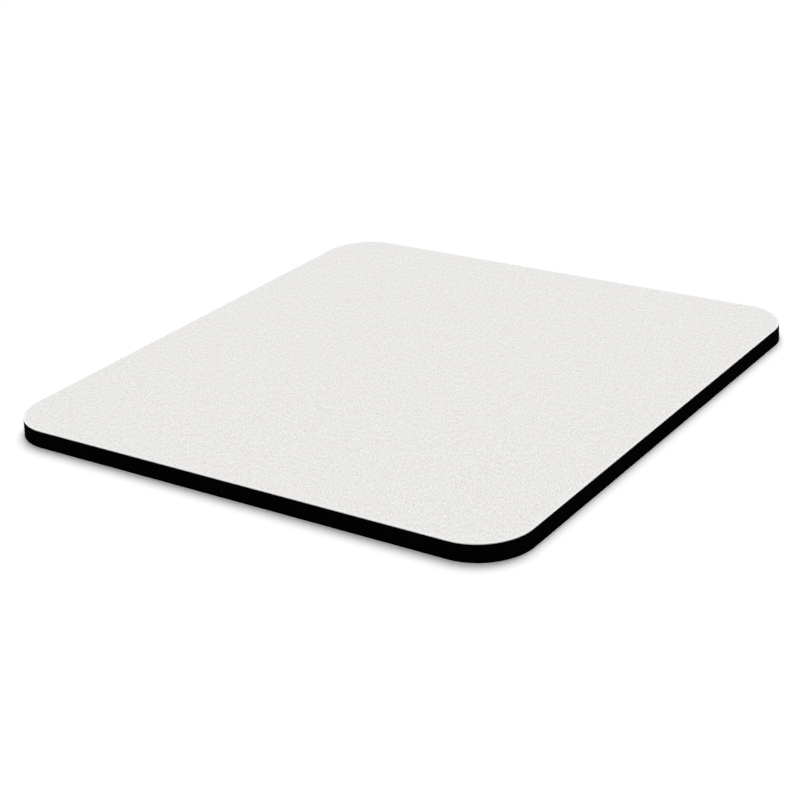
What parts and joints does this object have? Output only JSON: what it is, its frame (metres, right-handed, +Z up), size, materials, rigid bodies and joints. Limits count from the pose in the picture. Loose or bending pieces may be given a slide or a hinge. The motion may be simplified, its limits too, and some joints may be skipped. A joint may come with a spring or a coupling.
{
  "type": "mouse pad",
  "caption": "Flat rectangular mouse pad with round corners: white cloth bonded to a slab of black sponge rubber.",
  "frame": {"origin": "middle of the underside, on the surface that the pad lies on", "axes": "+Z up out of the cloth face, +X along the longer side, +Y along the shorter side"},
  "size_m": [0.216, 0.2032, 0.0063],
  "materials": {
    "face_cloth": "matt off-white polyester knit with a fine even grain",
    "bonding_film": "dark smoky hot-melt film, seen only as a hairline at the cut edge",
    "sponge_rubber": "matt black open-cell sponge, cut at the wall and moulded underneath"
  },
  "bodies": {
    "root": {"cloth_top": "face_cloth", "adhesive_film": "bonding_film", "sponge_base": "sponge_rubber"}
  },
  "joints": []
}
